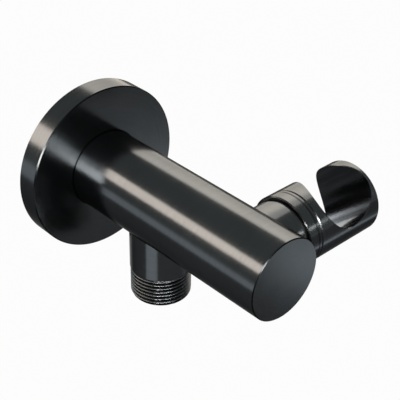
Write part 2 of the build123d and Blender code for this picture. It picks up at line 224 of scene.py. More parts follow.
class StageSettings(bpy.types.PropertyGroup):
    """Camera, lamps and floor."""

    camera_place: bpy.props.FloatVectorProperty(
        name="Camera place",
        description="Where the camera stands",
        default=(-0.180447, -0.24425, 0.18191),
        size=3,
        subtype="TRANSLATION",
        unit="LENGTH",
    )
    azimuth: bpy.props.FloatProperty(
        name="Azimuth",
        description="Direction that the camera looks from, about the vertical",
        default=math.radians(-43.748),
        subtype="ANGLE",
    )
    elevation: bpy.props.FloatProperty(
        name="Elevation",
        description="Height of the camera above the horizon",
        default=math.radians(33.36),
        subtype="ANGLE",
    )
    roll: bpy.props.FloatProperty(
        name="Roll",
        description="Turn of the camera about its line of sight",
        default=math.radians(1.26),
        subtype="ANGLE",
    )
    lens: bpy.props.FloatProperty(
        name="Lens",
        description="Focal length of the camera in millimetres",
        default=89.838,
        unit="CAMERA",
    )
    floor_height: bpy.props.FloatProperty(
        name="Floor height",
        description="Height of the floor under the elbow",
        default=-0.42,
        unit="LENGTH",
    )
    right_lamp: bpy.props.FloatProperty(
        name="Right lamp",
        description="Brightness of the wide lamp behind the right side",
        default=3.8,
        min=0.0,
    )
    left_lamp: bpy.props.FloatProperty(
        name="Left lamp",
        description="Brightness of the lamp above the left side",
        default=4.8,
        min=0.0,
    )
    low_lamp: bpy.props.FloatProperty(
        name="Low lamp",
        description="Brightness of the cool lamp low on the left side",
        default=0.8,
        min=0.0,
    )
    window: bpy.props.FloatProperty(
        name="Window",
        description="Brightness of the small window in front on the left",
        default=56.0,
        min=0.0,
    )
    front_lamp: bpy.props.FloatProperty(
        name="Front lamp",
        description="Brightness of the soft lamp above the front",
        default=2.5,
        min=0.0,
    )
    front_box: bpy.props.FloatProperty(
        name="Front box",
        description="Brightness of the wide soft box above the front",
        default=30.0,
        min=0.0,
    )
    back_box: bpy.props.FloatProperty(
        name="Back box",
        description="Brightness of the wide low soft box behind the wall",
        default=8.5,
        min=0.0,
    )
    spot: bpy.props.FloatProperty(
        name="Spot",
        description="Brightness of the small lamp in front on the right",
        default=9.0,
        min=0.0,
    )
    top_lamp: bpy.props.FloatProperty(
        name="Top lamp",
        description="Brightness of the lamp high on the right side",
        default=1.6,
        min=0.0,
    )
    card: bpy.props.FloatProperty(
        name="Low cards",
        description="Brightness of the four bounce cards below the elbow",
        default=1.45,
        min=0.0,
    )


# Shader expressions


class Number:
    """A value that runs through a material. An expression on it adds Math nodes."""

    def __init__(self, graph, socket):
        self.graph = graph
        self.socket = socket

    def math(self, operation, first, second=0.0):
        """Adds one Math node and returns its value."""
        node = self.graph.add("ShaderNodeMath", {"operation": operation}, {0: first, 1: second})
        return Number(self.graph, node.outputs[0])

    def __add__(self, other):
        return self.math("ADD", self, other)

    def __radd__(self, other):
        return self.math("ADD", other, self)

    def __sub__(self, other):
        return self.math("SUBTRACT", self, other)

    def __rsub__(self, other):
        return self.math("SUBTRACT", other, self)

    def __mul__(self, other):
        return self.math("MULTIPLY", self, other)

    def __rmul__(self, other):
        return self.math("MULTIPLY", other, self)

    def __truediv__(self, other):
        return self.math("DIVIDE", self, other)

    def __pow__(self, other):
        return self.math("POWER", self, other)

    def least(self, other):
        """The lower of this value and another."""
        return self.math("MINIMUM", self, other)

    def most(self, other):
        """The higher of this value and another."""
        return self.math("MAXIMUM", self, other)

    def span(self, low, high):
        """0 at low and 1 at high, with a straight rise between them."""
        return ((self - low) / (high - low)).most(0.0).least(1.0)


class Graph:
    """The node tree of one material or of the world."""

    def __init__(self, tree):
        self.tree = tree
        self.tree.nodes.clear()

    def add(self, kind, settings=None, sockets=None):
        """Adds a node, sets it up, and then fills or links its sockets."""
        node = self.tree.nodes.new(kind)
        for name, value in (settings or {}).items():
            setattr(node, name, value)
        for name, value in (sockets or {}).items():
            if isinstance(value, Number):
                self.tree.links.new(value.socket, node.inputs[name])
            elif isinstance(value, bpy.types.NodeSocket):
                self.tree.links.new(value, node.inputs[name])
            else:
                node.inputs[name].default_value = value
        return node

    def places(self, centre):
        """The point's distances from a centre in millimetres along X, Y and Z."""
        found = self.add("ShaderNodeTexCoord")
        sockets = {"Location": Vector(centre) * MM, "Scale": (MM, MM, MM)}
        sockets["Vector"] = found.outputs["Object"]
        moved = self.add("ShaderNodeMapping", {"vector_type": "TEXTURE"}, sockets)
        split = self.add("ShaderNodeSeparateXYZ", {}, {"Vector": moved.outputs["Vector"]})
        return [Number(self, split.outputs[axis]) for axis in range(3)]

    def about(self, centre, axis):
        """The point's place along an axis through a centre, and its two places square to it."""
        x, y, z = self.places(centre)
        return {"X": (x, y, z), "Y": (y, z, x), "Z": (z, x, y)}[axis]

    def object_place(self):
        """The point's place in the object's own coordinates, in metres."""
        return self.add("ShaderNodeTexCoord").outputs["Object"]

    def vector(self, x, y, z):
        """A vector of three values."""
        return self.add("ShaderNodeCombineXYZ", {}, {"X": x, "Y": y, "Z": z}).outputs["Vector"]

    def noise(self, vector, scale=1.0, detail=2.0, roughness=0.5):
        """Soft noise between 0 and 1 at a vector."""
        sockets = {"Vector": vector, "Scale": scale, "Detail": detail, "Roughness": roughness}
        return Number(self, self.add("ShaderNodeTexNoise", {}, sockets).outputs["Fac"])

    def blend(self, share, first, second):
        """A colour between two colours."""
        node = self.add("ShaderNodeMix", {"data_type": "RGBA"}, {0: share, 6: first, 7: second})
        return node.outputs[2]

    def bump(self, height, distance):
        """The normal of a relief whose height runs from 0 to 1 over a distance in metres."""
        sockets = {"Height": height, "Distance": distance, "Strength": 1.0}
        return self.add("ShaderNodeBump", {}, sockets).outputs["Normal"]

    def surface(self, **sockets):
        """Ends the tree in one principled surface. A socket's name has _ for a space."""
        named = {name.replace("_", " "): value for name, value in sockets.items()}
        shader = self.add("ShaderNodeBsdfPrincipled", {}, named)
        self.add("ShaderNodeOutputMaterial", {}, {"Surface": shader.outputs["BSDF"]})

    def mix_shaders(self, share, first, second):
        """A mix of the shaders of two nodes."""
        sockets = {0: share, 1: first.outputs[0], 2: second.outputs[0]}
        return self.add("ShaderNodeMixShader", {}, sockets).outputs[0]


def new_graph(name):
    """A new material and its node tree."""
    material = bpy.data.materials.new(name)
    material.use_nodes = True
    return material, Graph(material.node_tree)


def shade(colour, factor):
    """A colour times a number, with full alpha."""
    return (colour[0] * factor, colour[1] * factor, colour[2] * factor, 1.0)


def grey(level):
    """A grey of one level, with full alpha."""
    return (level, level, level, 1.0)


def turned_lines(graph, centre, axis, pitch, around):
    """The vector of a noise that runs in fine rings about an axis.

    The first coordinate is the place along the axis plus 0.6 of the distance from it, divided by the
    pitch of the lines, so that walls and end faces both get rings. The other two are the direction
    from the axis times a low number, so that a line fades in and out as it goes round. The 0.001
    added to the distance keeps the direction finite on the axis.
    """
    along, across, up = graph.about(centre, axis)
    distance = (across * across + up * up) ** 0.5 + 0.001
    line = (along + distance * 0.6) / pitch
    return graph.vector(line, across / distance * around, up / distance * around)


# Materials


def make_gunmetal(name, centre, axis, edges=(), bore=False, roots=(), painted_bevel_shade=0.55):
    """Fine brushed dark coat, with its lines round the axis on which the piece was turned.

    Each edge is a place along the axis, a radius and a size, for a bevel whose coat is darkened by a
    given share, as painted shade that dims the reflections on the bevel. The roots are the height at
    which a cut thread begins and its radii at the crest and at the root: painted shade darkens the
    coat towards the root, and the thread is rougher and brushed less. With bore set, streaks of
    painted shade darken the coat inside the cradle's bore.
    """
    finish = bpy.context.scene.elbow_finish
    material, graph = new_graph(name)
    fine = graph.noise(turned_lines(graph, centre, axis, pitch=0.10, around=3.0), roughness=0.6)
    broad = graph.noise(turned_lines(graph, centre, axis, pitch=0.55, around=1.2), roughness=0.55)
    lines = fine * 0.7 + broad * 0.3
    depth = finish.brush_depth
    if roots:
        # Painted shade darkens the coat towards the thread's root.
        painted_shade_and_tarnish, cut = thread_roots(graph, centre, *roots)
        depth = depth * 0.3
    else:
        # Painted shade: the coat is darkened on the bevels to dim their reflections.
        painted_shade_and_tarnish = bevel(graph, centre, axis, edges) * painted_bevel_shade
    if bore:
        # Painted shade: dark streaks inside the cradle's bore.
        lines, painted_bore_shade = bore_lines(graph, lines)
        painted_shade_and_tarnish = painted_shade_and_tarnish.most(painted_bore_shade * 0.4)
    rough = lines * 0.10 + finish.gunmetal_roughness - 0.08
    if roots:
        rough = rough + cut * 0.10
    cloud = graph.noise(graph.object_place(), scale=55.0, detail=3.0)
    tone = (lines * 0.7 + cloud * 0.3).span(0.3, 0.7)
    bright = graph.blend(tone, shade(finish.gunmetal, 0.80), shade(finish.gunmetal, 1.20))
    graph.surface(
        # The painted shade blends the coat towards black.
        Base_Color=graph.blend(painted_shade_and_tarnish, bright, grey(0.0)),
        Metallic=1.0,
        Roughness=rough + cloud * 0.06,
        Specular_Tint=grey(0.45),
        Normal=graph.bump(lines, depth),
    )
    return material


def thread_roots(graph, centre, height, crest, root):
    """How deep a point lies in the upright thread, and whether it is on the thread at all.

    The first is 1 at the root and 0 at the crest, and sets the painted shade in the thread's roots.
    The second is 1 below the height at which the thread begins. Both are 0 above it.
    """
    blur = 0.05
    x, y, z = graph.places(centre)
    distance = (x * x + y * y) ** 0.5
    cut = 1.0 - z.span(height, height + blur)
    return (1.0 - distance.span(root, crest)) * cut, cut


def bevel(graph, centre, axis, edges):
    """1 on the small bevels at the ends of a turned piece, and 0 elsewhere.

    A point is on a bevel where it is less than the bevel's size from the end's plane and from the
    outer radius. With several edges, the highest value counts. The value sets where painted shade
    darkens the coat.
    """
    blur = 0.03
    along, across, up = graph.about(centre, axis)
    distance = (across * across + up * up) ** 0.5
    shares = []
    for end, radius, size in edges:
        gap = (along - end).most(end - along)
        near = 1.0 - gap.span(size, size + blur)
        shares.append(near * distance.span(radius - size - blur, radius - size))
    return functools.reduce(Number.most, shares)


def bore_lines(graph, outside):
    """The outside's rings with lines along the bore inside the cradle, and the bore's dark streaks.

    The point's place is written on the bore's own axes. The mask is 1 where the distance from the
    bore's axis is no more than its radius, and the streaks are 0 outside it. The streaks are painted
    shade that darkens the coat inside the bore.
    """
    x, y, z = graph.places(BORE_CENTRE)
    lean = math.radians(BORE_TILT)
    along = y * -math.cos(lean) + z * math.sin(lean)
    up = y * math.sin(lean) + z * math.cos(lean)
    distance = (x * x + up * up) ** 0.5 + 0.001
    around = graph.vector(x / distance * 46.0, up / distance * 46.0, along * 0.05)
    honed = graph.noise(around, roughness=0.6)
    inside = 1.0 - distance.span(BORE_RADIUS + 0.05, BORE_RADIUS + 0.15)
    broad = graph.vector(x / distance * 5.0, up / distance * 5.0, along * 0.03)
    # Painted shade: streaks from a broad noise that darken the bore.
    painted_bore_shade = graph.noise(broad).span(0.62, 0.38)
    return honed * inside + outside * (1.0 - inside), painted_bore_shade * inside


def make_brass():
    """Turned brass with tool lines round the nipple and a little tarnish in the thread's roots."""
    finish = bpy.context.scene.elbow_finish
    material, graph = new_graph("turned_brass")
    middle = (0.0, 0.0, 0.0)
    rings = turned_lines(graph, middle, "Y", pitch=0.16, around=2.0)
    lines = graph.noise(rings, roughness=0.6)
    dark_at, dark_from = 9.2, 10.3
    x, _, z = graph.places(middle)
    root = 1.0 - ((x * x + z * z) ** 0.5).span(dark_at, dark_from)
    patch = graph.noise(graph.object_place(), 160.0, 4.0, 0.6).span(0.4, 0.7)
    painted_shade_and_tarnish = (root * 0.35 + patch * 0.4).least(1.0)
    graph.surface(
        Base_Color=graph.blend(painted_shade_and_tarnish, shade(finish.brass, 1.0), shade(finish.brass, 0.55)),
        Metallic=1.0,
        Roughness=0.22 + lines * 0.1 + painted_shade_and_tarnish * 0.14,
        Normal=graph.bump(lines, 0.000002),
    )
    return material


def make_steel(name, centre, axis):
    """Plain stainless steel with fine turned rings."""
    finish = bpy.context.scene.elbow_finish
    material, graph = new_graph(name)
    lines = graph.noise(turned_lines(graph, centre, axis, pitch=0.09, around=2.0))
    graph.surface(
        Base_Color=graph.blend(lines, shade(finish.steel, 0.86), shade(finish.steel, 1.08)),
        Metallic=1.0,
        Roughness=0.2 + lines * 0.16,
        Normal=graph.bump(lines, 0.0000015),
    )
    return material


def make_rubber():
    """Matt black rubber with a fine grain and a faint bloom."""
    finish = bpy.context.scene.elbow_finish
    material, graph = new_graph("seal_rubber")
    place = graph.object_place()
    grain = graph.noise(place, 4200.0, 3.0, 0.6)
    bloom = graph.noise(place, 240.0, 3.0).span(0.4, 0.75)
    graph.surface(
        Base_Color=graph.blend(bloom, shade(finish.rubber, 1.0), shade(finish.rubber, 1.7)),
        Roughness=0.55 + bloom * 0.15,
        Normal=graph.bump(grain, 0.000008),
    )
    return material


def make_moulded(name, colour, grain_depth):
    """Moulded plastic with a fine spark-eroded grain."""
    material, graph = new_graph(name)
    place = graph.object_place()
    grain = graph.noise(place, 5200.0)
    flow = graph.noise(place, 180.0, 3.0)
    graph.surface(
        Base_Color=graph.blend(flow, shade(colour, 0.93), shade(colour, 1.05)),
        Roughness=0.34 + grain * 0.1 + flow * 0.06,
        Normal=graph.bump(grain, grain_depth),
    )
    return material


# Surfaces


def full_turn(count):
    """Evenly spaced angles round a full turn."""
    return np.linspace(0.0, 2.0 * np.pi, count, endpoint=False)


def grid_faces(rows, columns):
    """Quads of a grid that closes on itself both ways."""
    row, column = np.meshgrid(np.arange(rows), np.arange(columns), indexing="ij")
    next_row, next_column = (row + 1) % rows, (column + 1) % columns
    corners = [row * columns + column, next_row * columns + column]
    corners += [next_row * columns + next_column, row * columns + next_column]
    return np.stack([corner.ravel() for corner in corners], axis=1)


def enclosed(points, faces):
    """The volume inside the quads, negative if they face inwards.

    It is the sum over the quads of their middle dotted with the cross product of their diagonals,
    divided by six.
    """
    corner = points[faces]
    across = np.cross(corner[:, 2] - corner[:, 0], corner[:, 3] - corner[:, 1])
    return np.sum(corner.mean(axis=1) * across) / 6.0


def make_piece(name, points, faces, ends=(), sharp=None):
    """A mesh object from points in millimetres, smooth except across edges sharper than an angle."""
    order = 1 if enclosed(points, faces) > 0 else -1
    sides = faces[:, ::order].tolist() + [end[::order].tolist() for end in ends]
    mesh = bpy.data.meshes.new(name)
    mesh.from_pydata((points * MM).tolist(), [], sides)
    mesh.polygons.foreach_set("use_smooth", np.ones(len(mesh.polygons), bool))
    if sharp:
        mesh.set_sharp_from_angle(angle=math.radians(sharp))
    mesh.update()
    piece = bpy.data.objects.new(name, mesh)
    bpy.context.scene.collection.objects.link(piece)
    return piece


def profile_walk(corners, step, fine_leg=None):
    """Points along a closed profile, no further apart than a step, with every corner kept.

    One leg can be walked in steps of a third of that.
    """
    corners = np.asarray(corners, float)
    legs = np.roll(corners, -1, axis=0) - corners
    steps = np.where(np.arange(len(corners)) == fine_leg, step / 3.0, step)
    counts = np.maximum(1, np.ceil(np.hypot(legs[:, 0], legs[:, 1]) / steps).astype(int))
    leg = np.repeat(np.arange(len(corners)), counts)
    share = (np.arange(len(leg)) - np.repeat(np.cumsum(counts) - counts, counts)) / counts[leg]
    return corners[leg] + legs[leg] * share[:, None]


def thread_depth(phase, depth):
    """How deep a pipe thread is at a phase counted in turns from a crest.

    A triangle wave goes from 0 at the crest to 1 at the root, half a turn away. It is eased at both
    ends, because the crest and the root of a pipe thread are rounded.
    """
    wave = 2.0 * np.abs(phase - np.round(phase))
    return rise(wave, 0.02, 0.98) * depth


def rise(value, low, high):
    """Goes smoothly from 0 at low to 1 at high."""
    share = np.clip((value - low) / (high - low), 0.0, 1.0)
    return share * share * (3.0 - 2.0 * share)


def outlet_surface(threads):
    """The outlet stub: a closed profile turned about the outlet's axis, with a saddle and a thread.

    A point has a radius and a height below the arm's axis. Where the profile meets the arm, the
    height is the root of the saddle's radius squared less the sideways distance squared, and that
    lift fades out towards the thread. On the threaded length, the radius loses the depth of the
    thread at the phase that the height and the angle give, for a right-handed thread whose first
    crest is at its height at the crest's angle.
    """
    outside = threads.outside / MM / 2.0
    pitch = threads.hose_pitch / MM
    wall, spigot, channel, bore, saddle, seat = 10.65, 9.4, 6.0, 7.5, 14.05, 13.9
    top_round, low_round, round_middle, edge, lead = 0.12, 0.22, 0.06, 0.6, 0.5
    first_crest, crest_angle = 25.75, math.radians(226.2)
    step, near, lift_end, runout = 0.12, 0.01, THREAD_TOP - 2.5, 0.5
    corners = [
        (channel, STUB_TOP),
        (spigot, STUB_TOP),
        (spigot, saddle),
        (wall - top_round, saddle),
        (wall, saddle + top_round),
        (wall, THREAD_TOP - low_round),
        (wall - round_middle, THREAD_TOP - round_middle),
        (outside, THREAD_TOP),
        (outside, STUB_FOOT - lead),
        (outside - lead, STUB_FOOT),
        (bore + edge, STUB_FOOT),
        (bore, STUB_FOOT - edge),
        (bore, seat),
        (channel, seat),
    ]
    profile = profile_walk(corners, step, fine_leg=corners.index((outside, THREAD_TOP)))
    angle = full_turn(192)
    radius = np.repeat(profile[:, :1], len(angle), axis=1)
    height = np.repeat(profile[:, 1:], len(angle), axis=1)
    outer = radius > spigot - near
    top = np.sqrt(saddle**2 - (np.minimum(radius, wall) * np.cos(angle)) ** 2)
    lift = rise(height, STUB_TOP, saddle) * (1.0 - rise(height, saddle, lift_end))
    height = height + np.where(outer, (top - saddle) * lift, 0.0)
    phase = (height - first_crest) / pitch + (angle - crest_angle) / (2.0 * np.pi)
    cut = thread_depth(phase, threads.hose_depth / MM)
    cut = cut * rise(height, THREAD_TOP, THREAD_TOP + runout)
    threaded = outer & (height > THREAD_TOP - near)
    radius = np.where(threaded, np.minimum(radius, outside - cut), radius)
    across, back = radius * np.cos(angle), radius * np.sin(angle) + OUTLET_Y
    points = np.stack([across, back, -height], axis=-1)
    return points.reshape(-1, 3), grid_faces(*radius.shape)


def nipple_surface(threads):
    """The wall nipple: a closed profile turned about the wall axis, with a thread and a hexagon.

    A point has a radius and a place along the axis. On the threaded length, the radius loses the
    depth of the thread. In the key's socket it is half the width across flats divided by the cosine
    of the angle from the middle of the nearest flat.
    """
    outside = threads.outside / MM / 2.0
    pitch = threads.wall_pitch / MM
    bore, shank, key, groove, grub = 4.5, 9.0, 5.0, 7.45, 8.2
    groove_half, grub_half, bore_edge, lead, shank_edge = 0.95, 1.6, 0.4, 1.0, 0.8
    front, back, key_end = NIPPLE_FRONT, NIPPLE_BACK, NIPPLE_FRONT + 9.5
    step, near, runout = 0.15, 0.001, (1.2, 2.6)
    hollows = (
        (GRUB_Y, grub, grub_half),
        (REAR_SEAL_Y, groove, groove_half),
        (FRONT_SEAL_Y, groove, groove_half),
    )
    corners = [
        (bore, back - bore_edge),
        (bore + bore_edge, back),
        (outside - lead, back),
        (outside, back - lead),
        (outside, 0.0),
        (shank, 0.0),
    ]
    for place, floor, half in hollows:
        corners += [(shank, place + half), (floor, place + half)]
        corners += [(floor, place - half), (shank, place - half)]
    corners += [
        (shank, front + shank_edge),
        (shank - shank_edge, front),
        (key, front),
        (key, key_end),
        (bore, key_end),
    ]
    profile = profile_walk(corners, step)
    angle = full_turn(180)
    radius = np.repeat(profile[:, :1], len(angle), axis=1)
    along = np.repeat(profile[:, 1:], len(angle), axis=1)
    turn = np.mod(angle + np.pi / 6.0, np.pi / 3.0) - np.pi / 6.0
    in_key = (radius < key + near) & (radius > bore + near) & (along < key_end + near)
    in_key = in_key & ~((along > key_end - near) & (radius < key - near))
    radius = np.where(in_key, key / np.cos(turn), radius)
    phase = along / pitch - angle / (2.0 * np.pi)
    cut = thread_depth(phase, threads.depth_share * pitch)
    cut = cut * rise(along, *runout)
    threaded = (along > near) & (radius > bore + 1.0)
    radius = np.where(threaded, np.minimum(radius, outside - cut), radius)
    points = np.stack([radius * np.sin(angle), along, radius * np.cos(angle)], axis=-1)
    return points.reshape(-1, 3), grid_faces(*radius.shape)


def ring_surface(centre, axis, radius, section):
    """A round seal: a circle of the section's radius carried round a circle about the axis."""
    turn, around = full_turn(144)[:, None], full_turn(28)[None, :]
    reach = radius + section * np.cos(around) + 0.0 * turn
    height = section * np.sin(around) + 0.0 * turn
    first, second = reach * np.cos(turn), reach * np.sin(turn)
    places = {"Y": (first, height, second), "Z": (first, second, height)}[axis]
    points = np.stack(places, axis=-1) + np.asarray(centre)
    return points.reshape(-1, 3), grid_faces(*reach.shape)


def spring_surface(wire, mean, turns):
    """The valve's spring: a small circle carried along a helix, drawn in to a dot at both ends.

    Along the helix, the angle grows evenly and the height falls from the upper to the lower end. The
    circle lies in the outward direction and in the direction square to that and to the wire.
    """
    rings, dot = 420, 0.001
    share = np.concatenate([[0.0], np.linspace(0.0, 1.0, rings), [1.0]])[:, None]
    size = np.where((np.arange(len(share)) % (len(share) - 1)) == 0, dot, wire)[:, None]
    angle = 2.0 * np.pi * turns * share
    top, foot = SPRING_TOP - wire, SPRING_FOOT + wire
    height = top + (foot - top) * share
    out = np.concatenate([np.cos(angle), np.sin(angle), 0.0 * angle], axis=1)
    fall = (foot - top) / (2.0 * np.pi * turns)
    run = np.concatenate([-mean * np.sin(angle), mean * np.cos(angle), fall + 0.0 * angle], axis=1)
    run = run / np.linalg.norm(run, axis=1, keepdims=True)
    side = np.cross(run, out)
    around = full_turn(16)
    centre = np.concatenate([mean * np.cos(angle), mean * np.sin(angle) + OUTLET_Y, height], axis=1)
    circle = out[:, None, :] * np.cos(around)[None, :, None]
    circle = circle + side[:, None, :] * np.sin(around)[None, :, None]
    points = centre[:, None, :] + circle * size[:, :, None]
    rows, columns = points.shape[:2]
    faces = grid_faces(rows, columns)[: (rows - 1) * columns]
    first, last = np.arange(columns), np.arange(columns) + (rows - 1) * columns
    return points.reshape(-1, 3), faces, (first, last[::-1])


# Operators


def dress(material, *nodes):
    """Gives one material to solids of the frame."""
    for node in nodes:
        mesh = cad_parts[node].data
        mesh.materials.clear()
        mesh.materials.append(material)


def settle(piece, material, slot, body, *replaced):
    """Gives a new piece its finish and its body, and hides the solid that it stands for."""
    piece.data.materials.append(material)
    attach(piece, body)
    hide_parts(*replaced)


class ELBOW_OT_stage(bpy.types.Operator):
    """Sets up the camera, the lamps, the world and the floor"""

    bl_idname = "elbow.stage"
    bl_label = "Stage"

    def execute(self, context):
        """Makes what surrounds the elbow."""
        stage = context.scene.elbow_stage
        context.scene.view_settings.view_transform = "Standard"
        place_camera(stage)
        place_lamps(stage)
        colour_world()
        lay_floor(stage)
        return {"FINISHED"}


def place_camera(stage):
    """The camera stands at its place and looks along its azimuth and elevation, rolled a little."""
    flat, rise_angle, roll = stage.azimuth, stage.elevation, stage.roll
    back = Vector((
        math.sin(flat) * math.cos(rise_angle),
        -math.cos(flat) * math.cos(rise_angle),
        math.sin(rise_angle),
    ))
    right = Vector((math.cos(flat), math.sin(flat), 0.0))
    up = back.cross(right)
    rolled_right = right * math.cos(roll) + up * math.sin(roll)
    rolled_up = up * math.cos(roll) - right * math.sin(roll)
    lens = bpy.data.cameras.new("camera")
    lens.lens = stage.lens
    lens.sensor_width = 36.0
    lens.clip_start = 0.01
    camera = bpy.data.objects.new("camera", lens)
    turned = Matrix((rolled_right, rolled_up, back)).transposed()
    camera.matrix_world = Matrix.Translation(stage.camera_place) @ turned.to_4x4()
    bpy.context.scene.collection.objects.link(camera)
    bpy.context.scene.camera = camera


def hang_lamp(name, out, reach, size, brightness, colour, upright):
    """A soft box that faces the elbow's middle from a distance, with one side along a direction.

    Its power is four times its brightness times its area. The front lamp lights matt things and
    doesn't show in the metal, and every other lamp shows in it and lights nothing else.
    """
    out = Vector(out).normalized()
    side = Vector(upright).cross(out).normalized()
    soft = bpy.data.lights.new(name, "AREA")
    soft.shape = "RECTANGLE"
    soft.size, soft.size_y = size
    soft.energy = brightness * 4.0 * soft.size * soft.size_y
    soft.color = colour
    lamp = bpy.data.objects.new(name, soft)
    turned = Matrix((side, out.cross(side), out)).transposed()
    lamp.matrix_world = Matrix.Translation(LAMP_TARGET + out * reach) @ turned.to_4x4()
    lamp.visible_camera = False
    lamp.visible_diffuse = name == "front_lamp"
    lamp.visible_glossy = name != "front_lamp"
    bpy.context.scene.collection.objects.link(lamp)


def place_lamps(stage):
    """Three soft boxes stand round the arm's axis, and six other lamps and four cards round them.

    Each of the three is long in the direction of the arm. Its angle is counted about the arm's axis
    from the right side upwards, and its width is an angle too. Each of the others has a direction
    from the elbow's middle and a width and a height in metres.
    """
    boxes = (
        ("right_lamp", 23.5, 54.0, stage.right_lamp, (1.0, 0.885, 0.765)),
        ("left_lamp", 144.5, 23.0, stage.left_lamp, (1.0, 0.85, 0.73)),
        ("low_lamp", 194.5, 17.0, stage.low_lamp, (0.86, 0.94, 1.0)),
    )
    for name, angle, width, brightness, colour in boxes:
        turn = math.radians(angle)
        out = (BOX_OUT * math.cos(turn), BOX_BACK, BOX_OUT * math.sin(turn))
        wide = 2.0 * LAMP_REACH * BOX_OUT * math.tan(math.radians(width / 2.0))
        size = (wide, BOX_LENGTH)
        hang_lamp(name, out, LAMP_REACH, size, brightness, colour, (0.0, 1.0, 0.0))
    cool, card = (0.88, 0.95, 1.0), stage.card
    others = (
        ("window", (-0.785, -0.59, 0.19), (0.2, 0.32), stage.window, (1.0, 0.96, 0.92)),
        ("front_lamp", (-0.12, -0.78, 0.58), (0.6, 0.6), stage.front_lamp, (1.0, 0.98, 0.95)),
        ("front_box", (-0.33, -0.87, 0.36), (0.66, 0.2), stage.front_box, (1.0, 0.99, 0.97)),
        ("back_box", (0.18, 0.97, -0.16), (0.68, 0.2), stage.back_box, (0.99, 0.98, 1.0)),
        ("spot", (0.578, -0.778, 0.247), (0.09, 0.09), stage.spot, (1.0, 0.98, 0.96)),
        ("top_lamp", (0.57, 0.20, 0.79), (0.3, 0.3), stage.top_lamp, (1.0, 0.93, 0.86)),
        ("left_card", (-0.810, -0.202, -0.55), (0.36, 0.27), card * 0.6, (0.86, 0.94, 1.0)),
        ("right_card", (0.683, -0.461, -0.566), (0.2, 0.05), card * 0.85, cool),
        ("face_card", (0.574, -0.637, -0.515), (0.26, 0.10), card * 0.1, cool),
        ("back_card", (0.12, 0.84, -0.50), (0.3, 0.2), card * 0.4, (1.0, 0.97, 0.92)),
    )
    for name, out, size, brightness, colour in others:
        reach = CARD_REACH if name.endswith("card") else LAMP_REACH
        hang_lamp(name, out, reach, size, brightness, colour, (0.0, 0.0, 1.0))


def background_rays(graph):
    """Two values: 1 for the camera's own rays, and 1 for rays mirrored or through a clear thing."""
    path = graph.add("ShaderNodeLightPath")
    names = ("Is Camera Ray", "Is Glossy Ray", "Is Transmission Ray")
    direct, glossy, clear = [Number(graph, path.outputs[name]) for name in names]
    return direct, glossy.most(clear)


def colour_world():
    """White to the camera, and in reflections white below the horizon and grey above it.

    It gives matt things a soft, slightly cool light.
    """
    world = bpy.data.worlds.new("studio")
    bpy.context.scene.world = world
    world.use_nodes = True
    graph = Graph(world.node_tree)
    direct, mirrored = background_rays(graph)
    found = graph.add("ShaderNodeTexCoord")
    split = graph.add("ShaderNodeSeparateXYZ", {}, {"Vector": found.outputs["Generated"]})
    height = Number(graph, split.outputs["Z"]).span(-0.12, -0.01)
    overhead = graph.blend(height, WHITE, (0.30, 0.32, 0.31, 1.0))
    colour = graph.blend(direct, overhead, WHITE)
    shown = graph.add("ShaderNodeBackground", {}, {"Color": colour, "Strength": 1.0})
    cool = (0.96, 0.98, 1.0, 1.0)
    lit = graph.add("ShaderNodeBackground", {}, {"Color": cool, "Strength": 0.55})
    mixed = graph.mix_shaders(direct.most(mirrored), lit, shown)
    graph.add("ShaderNodeOutputWorld", {}, {"Surface": mixed})


def lay_floor(stage):
    """A wide level floor, near white to the camera, with a soft shadow, and grey in reflections."""
    half_width, tiles = 4.0, 8
    edge = np.linspace(-half_width, half_width, tiles + 1)
    x, y = np.meshgrid(edge, edge, indexing="ij")
    points = np.stack([x, y, np.full_like(x, stage.floor_height)], axis=-1).reshape(-1, 3)
    row, column = np.meshgrid(np.arange(tiles), np.arange(tiles), indexing="ij")
    first = (row * len(edge) + column).ravel()
    beside = first + len(edge)
    faces = np.stack([first, beside, beside + 1, first + 1], axis=1)
    mesh = bpy.data.meshes.new("floor")
    mesh.from_pydata(points.tolist(), [], faces.tolist())
    mesh.update()
    floor = bpy.data.objects.new("floor", mesh)
    bpy.context.scene.collection.objects.link(floor)
    material, graph = new_graph("pale_floor")
    patch = graph.noise(graph.object_place(), scale=3.0, detail=3.0)
    colour = graph.blend(patch, grey(0.19), grey(0.22))
    matt = graph.add("ShaderNodeBsdfDiffuse", {}, {"Color": colour})
    white = graph.add("ShaderNodeEmission", {}, {"Color": WHITE, "Strength": 1.0})
    direct, mirrored = background_rays(graph)
    mixed = graph.mix_shaders((direct * 0.975).most(mirrored * 0.1), matt, white)
    graph.add("ShaderNodeOutputMaterial", {}, {"Surface": mixed})
    mesh.materials.append(material)


class ELBOW_OT_arm(bpy.types.Operator):
    """Finishes the arm and the escutcheon"""

    bl_idname = "elbow.arm"
    bl_label = "Arm and escutcheon"

    def execute(self, context):
        """Brushes both round the arm's axis."""
        # The bevels at the arm's end and the escutcheon's rim get painted shade that darkens their
        # coat by 0.82, to dim their reflections.
        middle, arm_bevel, disc_bevel, painted_bevel_shade = (0.0, 0.0, 0.0), 0.3, 0.35, 0.82
        end = ((ARM_END, ARM_RADIUS, arm_bevel),)
        dress(make_gunmetal("gunmetal_arm", middle, "Y", end, painted_bevel_shade=painted_bevel_shade), "arm")
        rim = ((DISC_FRONT, DISC_RADIUS, disc_bevel),)
        dress(make_gunmetal("gunmetal_disc", middle, "Y", rim, painted_bevel_shade=painted_bevel_shade), "escutcheon")
        return {"FINISHED"}


